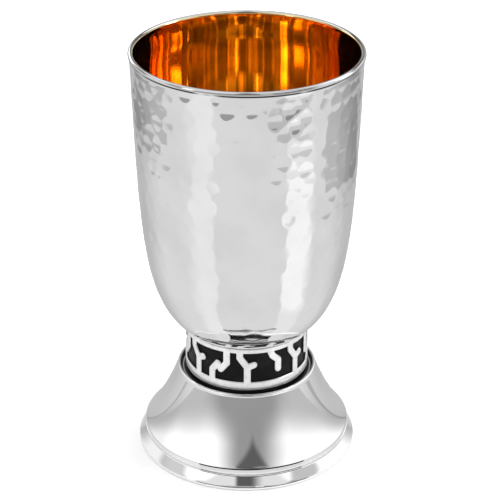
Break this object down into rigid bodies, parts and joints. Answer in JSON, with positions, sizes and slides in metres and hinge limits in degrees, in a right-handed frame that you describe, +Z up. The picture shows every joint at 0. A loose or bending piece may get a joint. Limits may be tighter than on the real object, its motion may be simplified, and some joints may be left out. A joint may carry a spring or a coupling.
{
  "type": "kiddush cup",
  "caption": "Hammered silver wine goblet with a gilt inside and rolled rim, on a short collar of raised strokes over a dark ground and a hollow polished bell foot.",
  "frame": {"origin": "centre of the round footprint, on the surface the cup stands on", "axes": "+Z up the cup's axis, -Y towards the front of the collar's stroke pattern, +X to the right of the front"},
  "size_m": [0.0692, 0.0692, 0.13],
  "materials": {
    "hammered_silver": "bright hammered sterling silver, deep gold plating inside",
    "oxidised_silver": "cast silver, satin raised strokes over a blackened ground",
    "polished_silver": "mirror-polished spun silver"
  },
  "bodies": {
    "root": {"bowl": "hammered_silver", "collar": "oxidised_silver", "foot": "polished_silver"}
  },
  "joints": []
}
